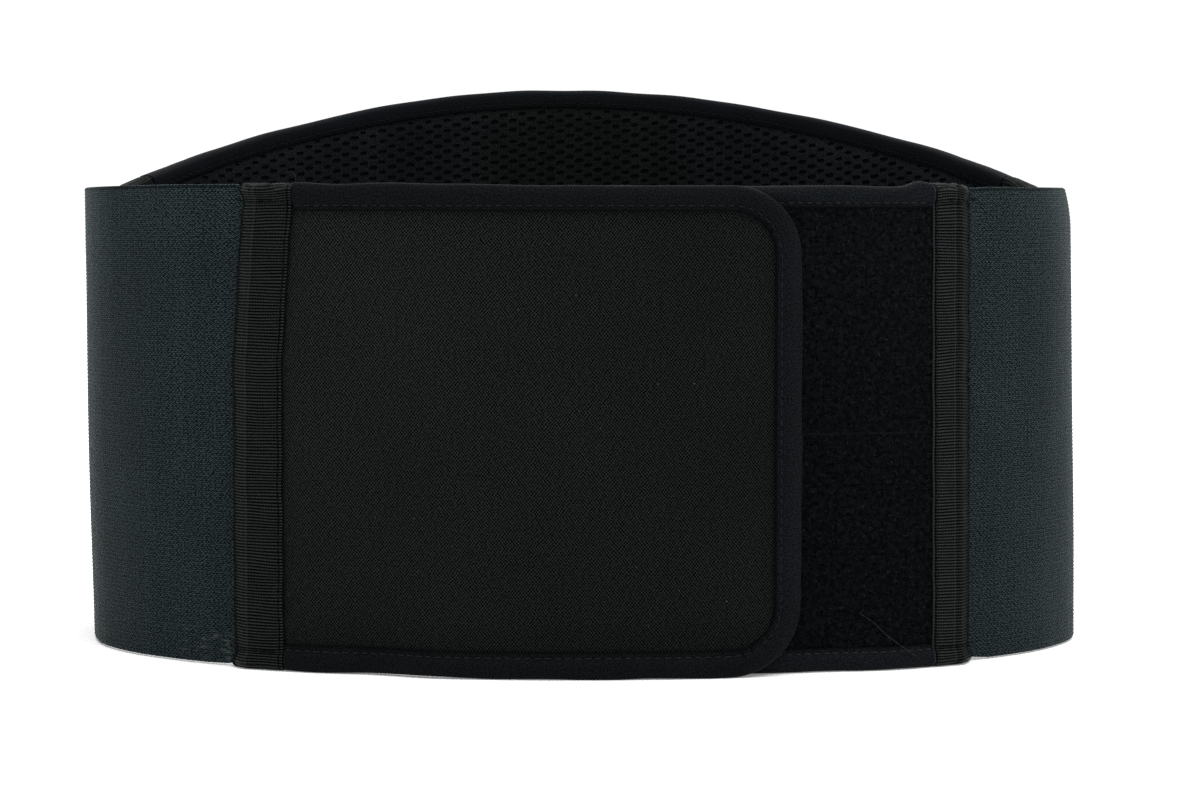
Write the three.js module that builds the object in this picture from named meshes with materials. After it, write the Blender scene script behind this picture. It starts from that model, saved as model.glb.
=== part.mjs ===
import * as THREE from "three";

// Driving dimensions, in millimetres.
// The closed belt stands on its lower edge as an oval ring, with its front towards -Y and +Z up.
const HALF_WIDTH = 162; // of the oval, through the middle of the elastic's thickness
const FRONT_DEPTH = 90; // from the widest points to the front of the oval
const BACK_DEPTH = 100; // from the widest points to the back of the oval
const FRONT_HEIGHT = 151;
const ARCH_RISE = 34.4; // the arched back stands this much higher than the front
const ARCH_START = 235.5; // the arch rises from here on both sides, along the belt from the front
const ARCH_SHIFT = 4; // the arch peaks this far towards -X from the middle of the back
const FACET = 7.2; // length of the flat facets along the belt

// How far the elastic stands out at the floor, and is pulled in at its upper corner, on each side.
// It leans between its tapes, and most at the widest points.
const SIDE_LEAN = {
  right: { flare: 2.7, tuck: 2.2 },
  left: { flare: -1.7, tuck: 0 },
};
const LEAN_RUN = { from: 129, fullFrom: 195, fullTo: 205, to: 229 };
const TUCK_HEIGHT = 15;

// Layers, and the gap that neighbouring layers keep.
const GAP = 0.3;
const ELASTIC = 1.8;
const TAPE = 1;
const BINDING = 0.8;
const BINDING_PUFF = 0.5; // the swell of a binding's outer face
const BINDING_LEG = 7; // how far a binding reaches in from the edge it covers
const BINDING_CROWN = 0.5; // the flat part of a binding's fold, as a share of the edge it covers
const EDGE_INSET = 1.5; // a panel's edge lies this far inside its binding
const UNDER_PANEL = 2;
const LOOP_STRIP = 1.2;
const FLAP = { edge: 2.2, full: 3.4 };
const BACK = { edge: 2.2, full: 4.4 };
const LINING = { edge: 2, full: 3.2 };

// A padded panel is sewn flat along its edges and swells to its full thickness further in.
const SWELL_FROM = 9.5;
const SWELL_TO = 16;

// Seam tapes: each one folds round the upper and lower edges and covers the sewn end of a panel.
const TAPE_FOLD = 8; // the length of a folded end on the inside
const TAPE_ROUND = 0.5;

// Where the middle of each tape runs along the belt, its width, the length of panel under it,
// and the side on which that panel lies.
const SEAMS = {
  frontLeft: { foot: -99.4, top: -95.8, width: 18.2, lap: 13.6, panelSide: 1 },
  frontRight: { foot: 122.4, top: 120.6, width: 14.4, lap: 8.8, panelSide: -1 },
  rearRight: { foot: 237, top: 237, width: 16, lap: 11, panelSide: 1 },
  rearLeft: { foot: -237, top: -237, width: 16, lap: 11, panelSide: -1 },
};

// Free ends of the two front panels, the left one over the right one.
const FLAP_END = 68;
const UNDER_END = -36;
const CORNER = 20.5;
const CORNER_STEPS = 5;

// How far outward the inner face of each front panel lies, along the belt.
const ON_ELASTIC = ELASTIC / 2 + GAP;
const UNDER_REST = -3.1;
const STRIP_REST = UNDER_PANEL + GAP;
const FLAP_REST = UNDER_REST + STRIP_REST + LOOP_STRIP + 2 * (GAP + BINDING) + BINDING_PUFF + GAP;
const FLAP_RUN = [
  { along: -84, outward: ON_ELASTIC },
  { along: -64, outward: -0.2 },
  { along: -39.5, outward: FLAP_REST },
];
const UNDER_RUN = [
  { along: 72, outward: UNDER_REST },
  { along: 104, outward: ON_ELASTIC },
];

// Joins between the four strips of loop fastener, and the hook fastener that grips them.
const STRIP_JOINS = [36.5, 74, 116];
const HOOK_PATCH = { from: -8, to: 54, margin: 16 };

const LOOKS = {
  elastic: { color: 0x232a2c, roughness: 0.85, metalness: 0 },
  webbing: { color: 0x191c1b, roughness: 0.8, metalness: 0 },
  canvas: { color: 0x1a1c1a, roughness: 0.95, metalness: 0 },
  binding: { color: 0x131618, roughness: 0.9, metalness: 0 },
  loop_pile: { color: 0x0d0f10, roughness: 1, metalness: 0 },
  spacer_mesh: { color: 0x0e1010, roughness: 0.9, metalness: 0 },
  hook_nylon: { color: 0x101112, roughness: 0.7, metalness: 0 },
};

// The oval as a path that starts at the middle of the front and runs towards +X.
const oval = new THREE.CurvePath();
oval.add(new THREE.EllipseCurve(0, 0, HALF_WIDTH, FRONT_DEPTH, -Math.PI / 2, 0));
oval.add(new THREE.EllipseCurve(0, 0, HALF_WIDTH, BACK_DEPTH, 0, Math.PI));
oval.add(new THREE.EllipseCurve(0, 0, HALF_WIDTH, FRONT_DEPTH, Math.PI, 1.5 * Math.PI));
const girth = oval.getLength();

// The way out that the elastic leans at each side, between its two tapes.
function sideLean(along, up) {
  const { flare, tuck } = along > 0 ? SIDE_LEAN.right : SIDE_LEAN.left;
  const fromFront = Math.abs(along);
  const rise = THREE.MathUtils.smoothstep(fromFront, LEAN_RUN.from, LEAN_RUN.fullFrom);
  const fall = THREE.MathUtils.smoothstep(fromFront, LEAN_RUN.fullTo, LEAN_RUN.to);
  const fromTop = FRONT_HEIGHT - up;
  const corner = Math.max(0, 1 - fromTop / TUCK_HEIGHT) ** 2;
  return Math.sign(along) * (rise - fall) * (flare * (fromTop / FRONT_HEIGHT) - tuck * corner);
}

// A point of the flat pattern, carried round the oval: along the belt, up from the floor, outward.
function wrap({ along, up, outward }) {
  const share = THREE.MathUtils.euclideanModulo(along / girth, 1);
  const centre = oval.getPoint(share);
  const heading = oval.getTangent(share);
  const x = centre.x + heading.y * outward + sideLean(along, up);
  const y = centre.y - heading.x * outward;
  return new THREE.Vector3(x, y, up);
}

// Moves every corner of a geometry to where place() puts it in the flat pattern, round the oval.
function wrapped(geometry, place) {
  const corners = geometry.getAttribute("position");
  for (let i = 0; i < corners.count; i++) {
    const spot = wrap(place(corners.getX(i), corners.getY(i), corners.getZ(i)));
    corners.setXYZ(i, spot.x, spot.y, spot.z);
  }
  geometry.computeVertexNormals();
  return geometry;
}

// A closed sheet on a grid: place(column, row, outside) gives the flat-pattern point of a corner.
function sheet(columns, rows, place) {
  const box = new THREE.BoxGeometry(1, 1, 1, columns, rows, 1);
  return wrapped(box, (x, y, z) =>
    place(Math.round((x + 0.5) * columns), Math.round((y + 0.5) * rows), z > 0),
  );
}

// A closed ribbon: a flat section, swept through stations by place(sectionX, sectionY, station).
function ribbon(section, stations, place) {
  const shape = new THREE.Shape(section.map(([x, y]) => new THREE.Vector2(x, y)));
  const bar = new THREE.ExtrudeGeometry(shape, { depth: 1, steps: stations, bevelEnabled: false });
  return wrapped(bar, (x, y, z) => place(x, y, Math.round(z * stations)));
}

function mesh(name, look, geometry) {
  const made = new THREE.Mesh(geometry, new THREE.MeshStandardMaterial(LOOKS[look]));
  made.name = name;
  return made;
}

// The number of facets on a length of the belt.
function facets(length) {
  return Math.ceil(Math.abs(length) / FACET);
}

// The belt's upper edge: level round the front and sides, arched across the back.
function upperEdge(along) {
  const fromPeak = THREE.MathUtils.euclideanModulo(along, girth) - girth / 2 - ARCH_SHIFT;
  const halfArch = girth / 2 - ARCH_START - Math.sign(fromPeak) * ARCH_SHIFT;
  const share = Math.min(Math.abs(fromPeak) / halfArch, 1);
  return FRONT_HEIGHT + ARCH_RISE * Math.cos((share * Math.PI) / 2);
}

// The middle line of a seam's tape, which may lean along the belt.
function seamLine(seam, up) {
  return THREE.MathUtils.lerp(seam.foot, seam.top, up / FRONT_HEIGHT);
}

// The sewn end of the panel at a seam, under the tape.
function sewnEnd(seam, up) {
  return seamLine(seam, up) - seam.panelSide * (seam.lap - seam.width / 2);
}

// The tape's edge on the panel's side, where the panel comes out from under it.
function tapeEdge(seam, up) {
  return seamLine(seam, up) + (seam.panelSide * seam.width) / 2;
}

// The outward place of a panel's inner face, eased between the rows of its run.
function runAt(run, along) {
  if (along <= run[0].along) return run[0].outward;
  const next = run.findIndex((row) => row.along >= along);
  if (next < 0) return run[run.length - 1].outward;
  const before = run[next - 1];
  const share = THREE.MathUtils.smoothstep(along, before.along, run[next].along);
  return THREE.MathUtils.lerp(before.outward, run[next].outward, share);
}

function swell(layer, fromEdge) {
  const share = THREE.MathUtils.smoothstep(fromEdge, SWELL_FROM, SWELL_TO);
  return THREE.MathUtils.lerp(layer.edge, layer.full, share);
}

// Heights of a padded panel's rows: close together along both edges, where it is sewn flat.
const PADDED_ROWS = 7;
function paddedRow(row, foot, top) {
  const third = (top - foot) / 3;
  const fromFoot = [0, SWELL_FROM, SWELL_TO, third];
  return row < fromFoot.length ? foot + fromFoot[row] : top - fromFoot[PADDED_ROWS - row];
}

// Columns of a front panel from its sewn end to its free end, with the inset of its round corners.
function frontColumns(seam, freeEnd) {
  const cornerStart = freeEnd - seam.panelSide * CORNER;
  const straightSteps = facets(cornerStart - tapeEdge(seam, 0));
  const columns = [];
  columns.push({ along: (up) => sewnEnd(seam, up), inset: 0 });
  for (let i = 0; i < straightSteps; i++) {
    const along = (up) => THREE.MathUtils.lerp(tapeEdge(seam, up), cornerStart, i / straightSteps);
    columns.push({ along, inset: 0 });
  }
  for (let i = 0; i <= CORNER_STEPS; i++) {
    const turn = ((i / CORNER_STEPS) * Math.PI) / 2;
    const along = cornerStart + seam.panelSide * CORNER * Math.sin(turn);
    columns.push({ along: () => along, inset: CORNER * (1 - Math.cos(turn)) });
  }
  return seam.panelSide > 0 ? columns : columns.reverse();
}

// A front panel, sewn flat at its seam and round its edges.
function frontPanel({ seam, freeEnd, run, layer }) {
  const columns = frontColumns(seam, freeEnd);
  return sheet(columns.length - 1, PADDED_ROWS, (column, row, outside) => {
    const { along: alongAt, inset } = columns[column];
    const foot = EDGE_INSET + inset;
    const top = FRONT_HEIGHT - EDGE_INSET - inset;
    const up = paddedRow(row, foot, top);
    const along = alongAt(up);
    const fromSewnEnd = Math.abs(along - sewnEnd(seam, up)) - seam.lap + SWELL_FROM;
    const fromEdge = Math.min(up - foot, top - up, Math.abs(freeEnd - along), fromSewnEnd);
    const outward = runAt(run, along) + (outside ? swell(layer, fromEdge) : 0);
    return { along, up, outward };
  });
}

// The section of a binding over an edge of the given thickness: x out past the edge, y outward.
function bindingSection(thickness, innerPuff) {
  const inner = -GAP - BINDING;
  const outer = thickness + GAP + BINDING;
  const middle = -BINDING_LEG / 2;
  const shoulder = (thickness * (1 - BINDING_CROWN)) / 2;
  return [
    [-BINDING_LEG, -GAP],
    [GAP, -GAP],
    [GAP, thickness + GAP],
    [-BINDING_LEG, thickness + GAP],
    [-BINDING_LEG, outer],
    [middle, outer + BINDING_PUFF],
    [0, outer],
    [EDGE_INSET, thickness - shoulder],
    [EDGE_INSET, shoulder],
    [0, inner],
    [middle, inner - innerPuff],
    [-BINDING_LEG, inner],
  ];
}

// A binding along a path of edge points, with the panel on the right of the way it runs.
function binding(section, path, innerFace) {
  const last = path.length - 1;
  const outOfEdge = path.map((_, i) => {
    const before = path[Math.max(i - 1, 0)];
    const after = path[Math.min(i + 1, last)];
    const isEnd = i === 0 || i === last;
    const rise = isEnd ? 0 : after.up - before.up;
    return new THREE.Vector2(-rise, after.along - before.along).normalize();
  });
  return ribbon(section, last, (out, outward, station) => {
    const along = path[station].along + out * outOfEdge[station].x;
    const up = path[station].up + out * outOfEdge[station].y;
    return { along, up, outward: innerFace(along) + outward };
  });
}

// The edge of a front panel from its seam, round its free end and back to its seam.
function frontEdge({ seam, freeEnd }) {
  const cornerStart = freeEnd - seam.panelSide * CORNER;
  const straightSteps = facets(cornerStart - tapeEdge(seam, 0));
  const side = (up, level) => {
    const start = tapeEdge(seam, up) + seam.panelSide * GAP;
    const points = [];
    for (let i = 0; i < straightSteps; i++) {
      points.push({ along: THREE.MathUtils.lerp(start, cornerStart, i / straightSteps), up });
    }
    for (let i = 0; i <= CORNER_STEPS; i++) {
      const turn = ((i / CORNER_STEPS) * Math.PI) / 2;
      const along = cornerStart + seam.panelSide * CORNER * Math.sin(turn);
      points.push({ along, up: up - level * CORNER * (1 - Math.cos(turn)) });
    }
    return points;
  };
  const upper = side(FRONT_HEIGHT - EDGE_INSET, 1);
  const lower = side(EDGE_INSET, -1);
  return seam.panelSide > 0 ? [...upper, ...lower.reverse()] : [...lower, ...upper.reverse()];
}

// Heights of the elastic's rows, as shares of the whole: close together where its corner is pulled in.
const LEVELS = [0, 0.25, 0.5, 0.75, 0.9, 0.95, 1];

// The elastic between two seams, whose ends lie under the panels.
function elastic(from, to) {
  const columns = facets(to.foot - from.foot);
  return sheet(columns, LEVELS.length - 1, (column, row, outside) => {
    const level = LEVELS[row] * FRONT_HEIGHT;
    const start = seamLine(from, level) - from.width / 2;
    const end = seamLine(to, level) + to.width / 2;
    const along = THREE.MathUtils.lerp(start, end, column / columns);
    const foot = TAPE + GAP;
    const up = THREE.MathUtils.lerp(foot, upperEdge(along) - foot, LEVELS[row]);
    return { along, up, outward: outside ? ELASTIC / 2 : -ELASTIC / 2 };
  });
}

// A seam tape: folded inside at both edges, and stepped up where the panel's end lies under it.
function seamTape(seam, panelEdge) {
  const face = ON_ELASTIC + TAPE;
  const top = FRONT_HEIGHT;
  const section = [
    [TAPE_FOLD, -ON_ELASTIC],
    [TAPE, -ON_ELASTIC],
    [TAPE, ON_ELASTIC],
    [top - TAPE, ON_ELASTIC],
    [top - TAPE, -ON_ELASTIC],
    [top - TAPE_FOLD, -ON_ELASTIC],
    [top - TAPE_FOLD, -face],
    [top - TAPE_ROUND, -face],
    [top, TAPE_ROUND - face],
    [top, face - TAPE_ROUND],
    [top - TAPE_ROUND, face],
    [TAPE_ROUND, face],
    [0, face - TAPE_ROUND],
    [0, TAPE_ROUND - face],
    [TAPE_ROUND, -face],
    [TAPE_FOLD, -face],
  ];
  const step = seam.width / 2 - seam.lap;
  const stations = [
    { across: -seam.width / 2, lift: 0 },
    { across: step - TAPE - 2 * GAP, lift: 0 },
    { across: step - GAP, lift: panelEdge + GAP },
    { across: seam.width / 4, lift: panelEdge + GAP },
    { across: seam.width / 2, lift: panelEdge + GAP },
  ];
  const ordered = seam.panelSide > 0 ? stations : [...stations].reverse();
  return ribbon(section, stations.length - 1, (height, outward, station) => {
    const { across, lift } = ordered[station];
    const along = seamLine(seam, height) + seam.panelSide * across;
    const up = height > top / 2 ? height + upperEdge(along) - top : height;
    return { along, up, outward: outward > 0 ? outward + lift : outward };
  });
}

// Both ends of what lies between the rear tapes, such as the lining and the back's bindings.
const LINING_START = tapeEdge(SEAMS.rearRight, 0) + GAP;
const LINING_END = tapeEdge(SEAMS.rearLeft, 0) + girth - GAP;
const BACK_FACETS = facets(LINING_END - LINING_START);

// The padded back panel, whose ends lie over the elastic.
function backPanel() {
  const columns = BACK_FACETS;
  const { rearRight, rearLeft } = SEAMS;
  const start = sewnEnd(rearRight, 0);
  const end = sewnEnd(rearLeft, 0) + girth;
  const open = { from: LINING_START, to: LINING_END };
  return sheet(columns + 2, PADDED_ROWS, (column, row, outside) => {
    const share = (column - 1) / columns;
    const between = THREE.MathUtils.lerp(open.from, open.to, share);
    const along = share < 0 ? start : share > 1 ? end : between;
    const foot = EDGE_INSET;
    const top = upperEdge(along) - EDGE_INSET;
    const up = paddedRow(row, foot, top);
    const fromEnd = Math.min(along - open.from, open.to - along) + SWELL_FROM;
    const thickness = swell(BACK, Math.min(up - foot, top - up, fromEnd));
    return { along, up, outward: ON_ELASTIC + (outside ? thickness : 0) };
  });
}

// The spacer mesh that lines the back, between the ends of the elastic.
function backLining() {
  const columns = BACK_FACETS;
  return sheet(columns, PADDED_ROWS, (column, row, outside) => {
    const along = THREE.MathUtils.lerp(LINING_START, LINING_END, column / columns);
    const foot = EDGE_INSET;
    const top = upperEdge(along) - EDGE_INSET;
    const up = paddedRow(row, foot, top);
    const thickness = swell(LINING, Math.min(up - foot, top - up));
    return { along, up, outward: ON_ELASTIC - GAP - (outside ? 0 : thickness) };
  });
}

// The upper or lower binding of the back, over the panel and its lining together.
function backBinding(upper) {
  const path = [];
  for (let i = 0; i <= BACK_FACETS; i++) {
    const along = THREE.MathUtils.lerp(LINING_START, LINING_END, i / BACK_FACETS);
    path.push({ along, up: upper ? upperEdge(along) - EDGE_INSET : EDGE_INSET });
  }
  const section = bindingSection(LINING.edge + GAP + BACK.edge, BINDING_PUFF);
  const innerFace = ON_ELASTIC - GAP - LINING.edge;
  return binding(section, upper ? path : path.reverse(), () => innerFace);
}

// One strip of loop fastener on the under panel, from the tape to where the panel's corners begin.
function loopStrip(foot, top) {
  const seam = SEAMS.frontRight;
  const start = UNDER_END + CORNER;
  const columns = facets(tapeEdge(seam, foot) - start);
  return sheet(columns, 1, (column, row, outside) => {
    const up = row ? top : foot;
    const along = THREE.MathUtils.lerp(start, tapeEdge(seam, up) - GAP, column / columns);
    const outward = runAt(UNDER_RUN, along) + STRIP_REST + (outside ? LOOP_STRIP : 0);
    return { along, up, outward };
  });
}

// The hook fastener on the inside of the flap, pressed onto the loop strips.
function hookPatch() {
  const { from, to, margin } = HOOK_PATCH;
  const columns = facets(to - from);
  return sheet(columns, 1, (column, row, outside) => {
    const along = THREE.MathUtils.lerp(from, to, column / columns);
    const strips = UNDER_REST + STRIP_REST + LOOP_STRIP;
    const outward = outside ? FLAP_REST - GAP : strips + GAP;
    return { along, up: row ? FRONT_HEIGHT - margin : margin, outward };
  });
}

const belt = new THREE.Group();

belt.add(mesh("back_panel", "canvas", backPanel()));
belt.add(mesh("back_lining", "spacer_mesh", backLining()));
belt.add(mesh("back_binding_upper", "binding", backBinding(true)));
belt.add(mesh("back_binding_lower", "binding", backBinding(false)));

belt.add(mesh("elastic_left", "elastic", elastic(SEAMS.rearLeft, SEAMS.frontLeft)));
belt.add(mesh("elastic_right", "elastic", elastic(SEAMS.frontRight, SEAMS.rearRight)));

belt.add(mesh("tape_front_left", "webbing", seamTape(SEAMS.frontLeft, FLAP.edge)));
belt.add(mesh("tape_front_right", "webbing", seamTape(SEAMS.frontRight, STRIP_REST + LOOP_STRIP)));
belt.add(mesh("tape_rear_left", "webbing", seamTape(SEAMS.rearLeft, BACK.edge)));
belt.add(mesh("tape_rear_right", "webbing", seamTape(SEAMS.rearRight, BACK.edge)));

const flap = { seam: SEAMS.frontLeft, freeEnd: FLAP_END, run: FLAP_RUN, layer: FLAP };
const overFlap = bindingSection(FLAP.edge, 0);
const flapInnerFace = (along) => runAt(FLAP_RUN, along);
belt.add(mesh("front_flap", "canvas", frontPanel(flap)));
belt.add(mesh("flap_binding", "binding", binding(overFlap, frontEdge(flap), flapInnerFace)));

const underLayer = { edge: UNDER_PANEL, full: UNDER_PANEL };
const under = { seam: SEAMS.frontRight, freeEnd: UNDER_END, run: UNDER_RUN, layer: underLayer };
const overStrips = bindingSection(STRIP_REST + LOOP_STRIP, 0);
const underInnerFace = (along) => runAt(UNDER_RUN, along);
belt.add(mesh("under_panel", "canvas", frontPanel(under)));
belt.add(mesh("under_binding", "binding", binding(overStrips, frontEdge(under), underInnerFace)));

const stripEdges = [EDGE_INSET, ...STRIP_JOINS, FRONT_HEIGHT - EDGE_INSET];
stripEdges.slice(1).forEach((edge, i) => {
  const strip = loopStrip(stripEdges[i] + GAP / 2, edge - GAP / 2);
  belt.add(mesh(`loop_strip_${i + 1}`, "loop_pile", strip));
});
belt.add(mesh("hook_patch", "hook_nylon", hookPatch()));

// The origin is under the middle of the whole belt.
const extent = new THREE.Box3().setFromObject(belt);
const middle = extent.getCenter(new THREE.Vector3());
belt.position.set(-middle.x, -middle.y, -extent.min.z);

export default belt;
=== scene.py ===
import math

import bpy
import numpy as np
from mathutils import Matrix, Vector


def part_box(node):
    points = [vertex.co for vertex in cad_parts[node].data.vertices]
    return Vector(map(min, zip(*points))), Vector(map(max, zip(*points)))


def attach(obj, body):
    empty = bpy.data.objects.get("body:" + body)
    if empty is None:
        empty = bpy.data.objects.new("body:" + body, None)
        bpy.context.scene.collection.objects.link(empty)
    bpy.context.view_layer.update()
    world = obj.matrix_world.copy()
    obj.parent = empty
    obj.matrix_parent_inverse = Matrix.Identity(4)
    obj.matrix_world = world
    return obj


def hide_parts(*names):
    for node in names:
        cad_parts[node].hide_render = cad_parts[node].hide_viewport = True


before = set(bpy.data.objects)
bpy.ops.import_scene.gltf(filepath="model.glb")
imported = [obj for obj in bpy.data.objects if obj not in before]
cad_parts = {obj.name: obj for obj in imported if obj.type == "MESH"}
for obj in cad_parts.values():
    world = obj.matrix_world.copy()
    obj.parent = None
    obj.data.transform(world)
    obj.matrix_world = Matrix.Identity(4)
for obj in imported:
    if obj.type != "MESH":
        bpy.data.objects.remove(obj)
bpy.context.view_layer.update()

# Sizes of the belt, in millimetres, as in the part's source.
HALF_WIDTH = 162
FRONT_DEPTH = 90
BACK_DEPTH = 100
FRONT_HEIGHT = 151
ARCH_RISE = 34.4
ARCH_START = 235.5
ARCH_SHIFT = 6
# How each side's elastic leans out: its flare at the floor, the tuck of its upper corner and its bulge.
# The lean grows and dies away between these distances along.
SIDE_LEAN = {"right": (2.7, 2.2, 0.85), "left": (-1.15, 0, 0.28)}
LEAN_RUN = (129, 195, 205, 229)
TUCK_HEIGHT = 15
GAP = 0.3
ELASTIC = 1.8
TAPE = 1
BINDING = 0.8
BINDING_PUFF = 0.5
EDGE_INSET = 1.5
UNDER_PANEL = 2
LOOP_STRIP = 1.2
# Padded layers: their thickness at the edge and in the middle, and where between them they swell.
FLAP = (2.2, 3.4)
BACK = (2.2, 4.4)
LINING = (2, 3.2)
SWELL_FROM = 9.5
SWELL_TO = 16
TAPE_FOLD = 8
FLAP_END = 67.35
UNDER_END = -36
CORNER = 20.5
ON_ELASTIC = ELASTIC / 2 + GAP
UNDER_REST = -3.1
STRIP_REST = UNDER_PANEL + GAP
FLAP_REST = 3.4
# The places of the panels' inner faces: along, and outward.
FLAP_RUN = [(-84, ON_ELASTIC), (-64, -0.2), (-39.5, FLAP_REST)]
UNDER_RUN = [(72, UNDER_REST), (104, ON_ELASTIC)]
STRIP_JOINS = [36.5, 74, 116]
SHOWN_JOIN = STRIP_JOINS[1]
UNDER_THICK = STRIP_REST + LOOP_STRIP
BACK_THICK = LINING[0] + GAP + BACK[0]

# The tape over each seam. foot, top: its middle at the floor and at the upper edge. bend: the heights
# between which it bends over. lap: how much of it lies on the panel. side: towards the panel. ridge, groove,
# rim: its painted highlight on the ridge, its edge stitches with painted shade in their groove, and its
# painted shadow at the rim, from its edge on the panel. The next column paints light on its slope down to the
# elastic, and shade where it is negative. selvage, shadow: its light edge on the panel and its painted shade
# on the
# elastic. flare: of its lower and upper ends. dip: of its upper end. pull: how far it pulls up the elastic
# beside it.
SEAM_COLUMNS = "foot top bend width lap side ridge groove rim gleam selvage shadow flare dip pull".split()
SEAM_ROWS = {
    "front_left": (-99.7, -95.8, (88, 155), 18.2, 13.6, 1, 12.3, 1.35, 0.1, 0.2, 0, 1.1, (0.1, 0.1), 0, 1.1),
    "front_right": (121, 119.8, None, 16.2, 10.6, -1, 7.6, 0.75, -0.5, -0.3, 0.4, 3.2, (0.1, 0), 0.9, 0.3),
    "rear_right": (237, 237, None, 16, 11, 1, 9.5, 1.45, -0.5, 0, 0, 1, (0, 0), 0.9, 0),
    "rear_left": (-237, -237, None, 16, 11, -1, 9.5, 1.45, -0.5, 0, 0, 1, (0, 0), 0.9, 0),
}
SEAMS = {name: dict(zip(SEAM_COLUMNS, row)) for name, row in SEAM_ROWS.items()}

# Fine details of the cloth, in millimetres.
ELASTIC_ROW = 0.63
ELASTIC_FLOAT = 1.5
ELASTIC_THREAD = 1.25
ELASTIC_RIB_HEIGHT = 0.07
# The dark stitched band just under the elastic's upper edge, from the floor.
ELASTIC_LINE = (FRONT_HEIGHT - 2.55, FRONT_HEIGHT - 1.5)
CANVAS_WARP = 0.482
CANVAS_WEFT = 0.584
TAPE_RIB = 0.955
TAPE_RIB_HEIGHT = 0.2
TAPE_PRESS = 0.3
TAPE_TURN = 1.8
UNDER_TAPE = 0.3
STITCH_PITCH = 3
STITCH_LENGTH = 2.3
STITCH_RADIUS = 0.24
BINDING_STITCH = 5.2
BINDING_LEG = 6.8
UNDER_LEG = 5.8
BACK_LEG_INSIDE = 4.4
# Outer and inner legs of the bindings.
FLAP_LEGS = (BINDING_LEG, BINDING_LEG)
UNDER_LEGS = (UNDER_LEG, BINDING_LEG)
BACK_LEGS = (BINDING_LEG, BACK_LEG_INSIDE)
BACK_BINDING_END = 0.18
BACK_INNER_PUFF = 0.12
NET_COLUMN = 3.46
NET_PITCH = 3.76
NET_HOLE = (3, 1.5)
NET_DEPTH = 0.6
NET_SKEW = 0.085
NET_MARGIN = 1.3
NET_RIM = 2
NET_DIMPLE = 0.12
HOLE_SIDES = 8
# The triangles round a net's cell: the next goes on to a corner of the cell, or along its hole.
NET_STEPS = "hcchhchhcchhch"
GROUND_GAP = 0.05
STRIP_GAP = 0.05
PILE_CLUMP = 2.9
PILE_UNEVEN = 0.2
YARN_RADIUS = 0.08
YARN_SIDES = 3
LOOSE_RADIUS = 0.1
LOOSE_SIDES = 5
SHARP_ANGLE = 50
NET_SHARP_ANGLE = 40

# The cloths' small moves, in millimetres.
PUCKER = 0.16
FLAP_DRAPE = 0.35
FLAP_GROOVE = 0.4
BACK_DRAPE = 0.5
LINING_WAVE = 0.45
ELASTIC_SAG = 0.35
ELASTIC_FOOT = 0.5
TAPE_GROOVE = 0.35
TAPE_RIDGE = 0.3
TAPE_DOUBLED = 0.45
TAPE_DENT = 0.3
TAPE_WAVE = 0.16
BINDING_WANDER = 0.2
BINDING_GATHER = 0.4
GATHER_PITCH = 4.3
BINDING_DIMPLE = 0.14
BINDING_UNEVEN = 0.12

# The oval ring as a table of arc length and angle, from the middle of the front towards +X.
OVAL_TURN = np.linspace(-math.pi / 2, 1.5 * math.pi, 20001)
OVAL_DEPTH = np.where(np.sin(OVAL_TURN) < 0, FRONT_DEPTH, BACK_DEPTH)
OVAL_X = HALF_WIDTH * np.cos(OVAL_TURN)
OVAL_Y = OVAL_DEPTH * np.sin(OVAL_TURN)
OVAL_ALONG = np.concatenate([[0], np.cumsum(np.hypot(np.diff(OVAL_X), np.diff(OVAL_Y)))])
GIRTH = OVAL_ALONG[-1]

# The oval's middle in the part's frame.
CENTRE_X = 500 * (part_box("tape_rear_left")[0].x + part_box("tape_rear_right")[1].x)
CENTRE_Y = 1000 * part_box("back_panel")[1].y - (BACK_DEPTH + ON_ELASTIC + BACK[1])


def lerp(first, last, share):
    return first + (last - first) * share


def smoothstep(value, low, high):
    share = np.clip((value - low) / (high - low), 0, 1)
    return share * share * (3 - 2 * share)


def bump(value, middle, width):
    return np.exp(-(((value - middle) / width) ** 2))


def flat(*columns):
    """Flat-pattern points from their columns: along, up and outward."""
    return np.stack(np.broadcast_arrays(*columns), -1)


def unit(vectors):
    return vectors / np.linalg.norm(vectors, axis=-1, keepdims=True)


def lengths(*columns):
    """How far along a path each of its points lies."""
    steps = np.linalg.norm(np.diff(columns, axis=1), axis=0)
    return np.concatenate([[0], np.cumsum(steps)])


def ripple(along, up, wavelength, seed, stretch=1):
    """Smooth seeded unevenness of cloth, mostly between -1 and 1; stretch lengthens it up the belt."""
    dice = np.random.default_rng(seed)
    total = np.zeros(np.broadcast(along, up).shape)
    for _ in range(6):
        heading, phase = dice.uniform(0, 2 * math.pi, 2)
        length = wavelength * dice.uniform(0.7, 1.5)
        across = along * math.cos(heading) + up / stretch * math.sin(heading)
        total += np.sin(2 * math.pi * across / length + phase)
    return total / 3


def side_lean(along, up):
    """How far the elastic leans out at each side, between its tapes."""
    leans = np.where(along[..., None] > 0, SIDE_LEAN["right"], SIDE_LEAN["left"])
    flare, tuck, bulge = np.moveaxis(leans, -1, 0)
    rise = smoothstep(np.abs(along), LEAN_RUN[0], LEAN_RUN[1])
    fall = smoothstep(np.abs(along), LEAN_RUN[2], LEAN_RUN[3])
    from_top = FRONT_HEIGHT - up
    corner = np.clip(1 - from_top / TUCK_HEIGHT, 0, None) ** 2
    return np.sign(along) * (rise - fall) * (flare * from_top / FRONT_HEIGHT - tuck * corner + bulge)


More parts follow.
